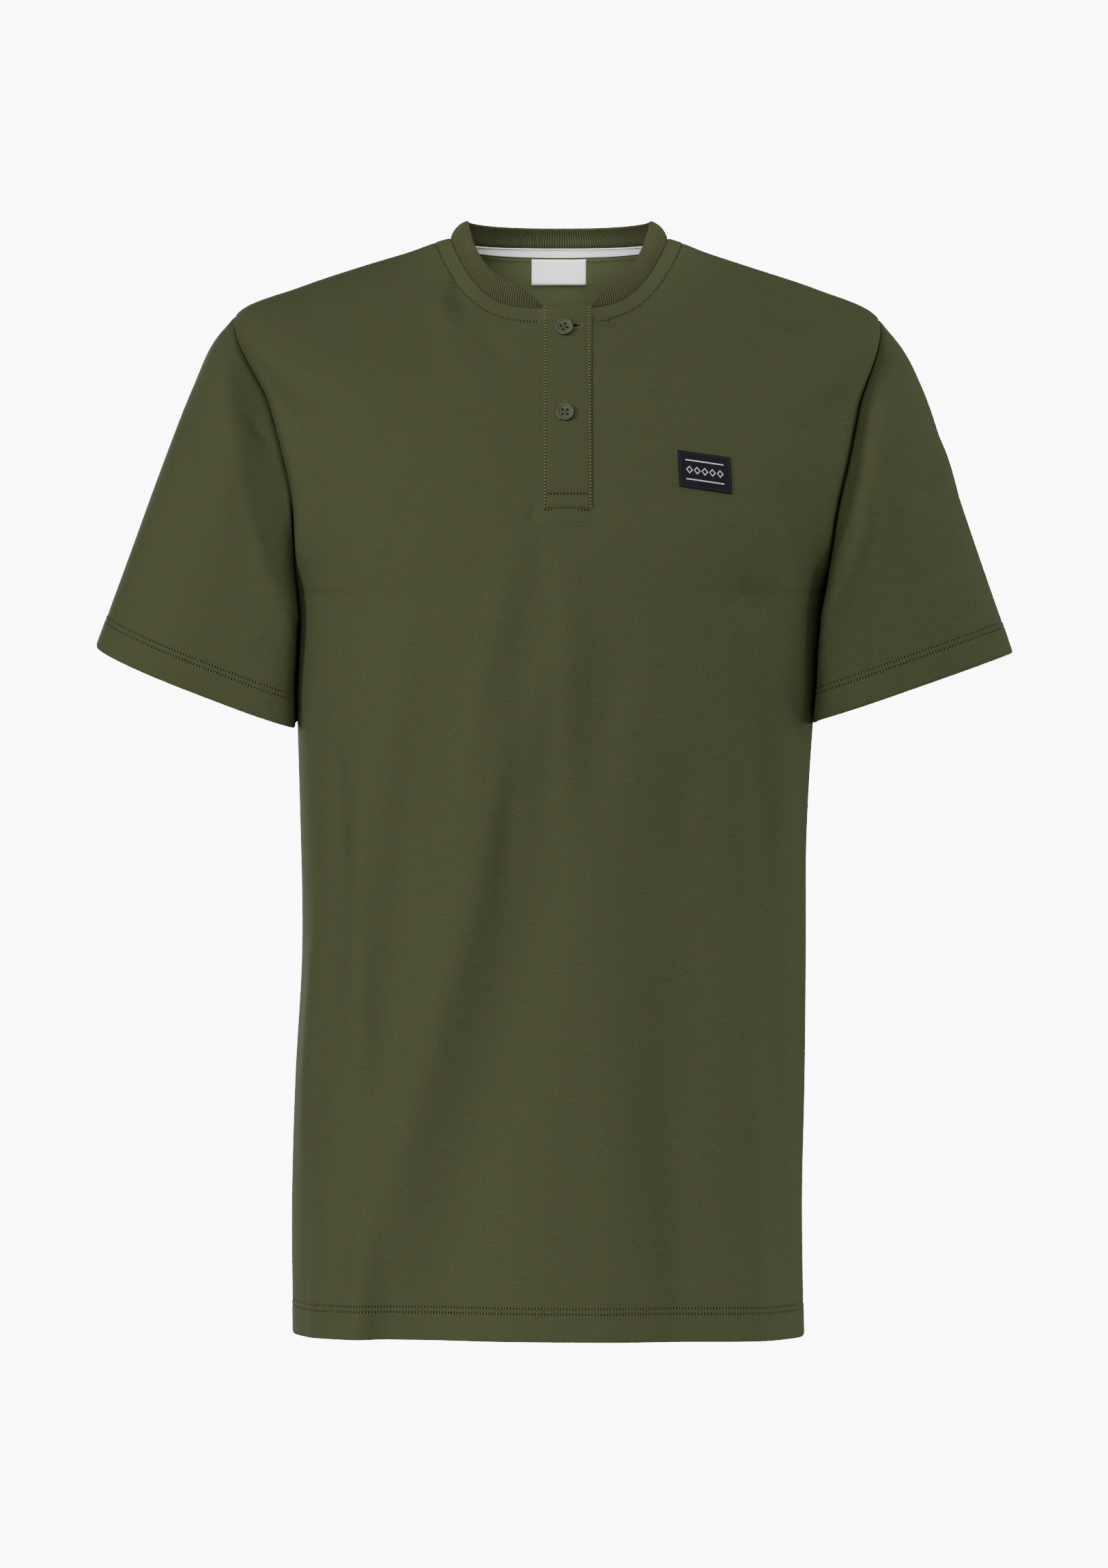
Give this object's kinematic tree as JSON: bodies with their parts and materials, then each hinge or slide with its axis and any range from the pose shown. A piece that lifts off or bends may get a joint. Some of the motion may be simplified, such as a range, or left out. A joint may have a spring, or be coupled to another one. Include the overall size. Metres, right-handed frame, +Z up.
{
  "type": "polo shirt",
  "caption": "Short-sleeved polo shirt with a rib band collar, a buttoned half placket and a small chest patch, filled out as when worn.",
  "frame": {"origin": "middle of the neck opening, level with the points where the shoulder seams meet the neckline", "axes": "+Z up, the shirt's front faces -Y, +X is the viewer's right as seen from the front (the wearer's left)"},
  "size_m": [0.611, 0.2484, 0.7413],
  "materials": {
    "olive_pique": "matte pique knit",
    "olive_rib": "matte 1 by 1 rib knit",
    "white_tape": "matte woven tape",
    "black_patch": "matte woven label",
    "button_green": "satin resin"
  },
  "bodies": {
    "root": {"front": "olive_pique", "back": "olive_pique", "sleeve_left": "olive_pique", "sleeve_right": "olive_pique", "placket_upper": "olive_pique", "placket_under": "olive_pique", "collar_rib": "olive_rib", "button_1": "button_green", "button_2": "button_green", "neck_tape": "white_tape", "neck_label": "white_tape", "chest_patch": "black_patch"}
  },
  "joints": []
}
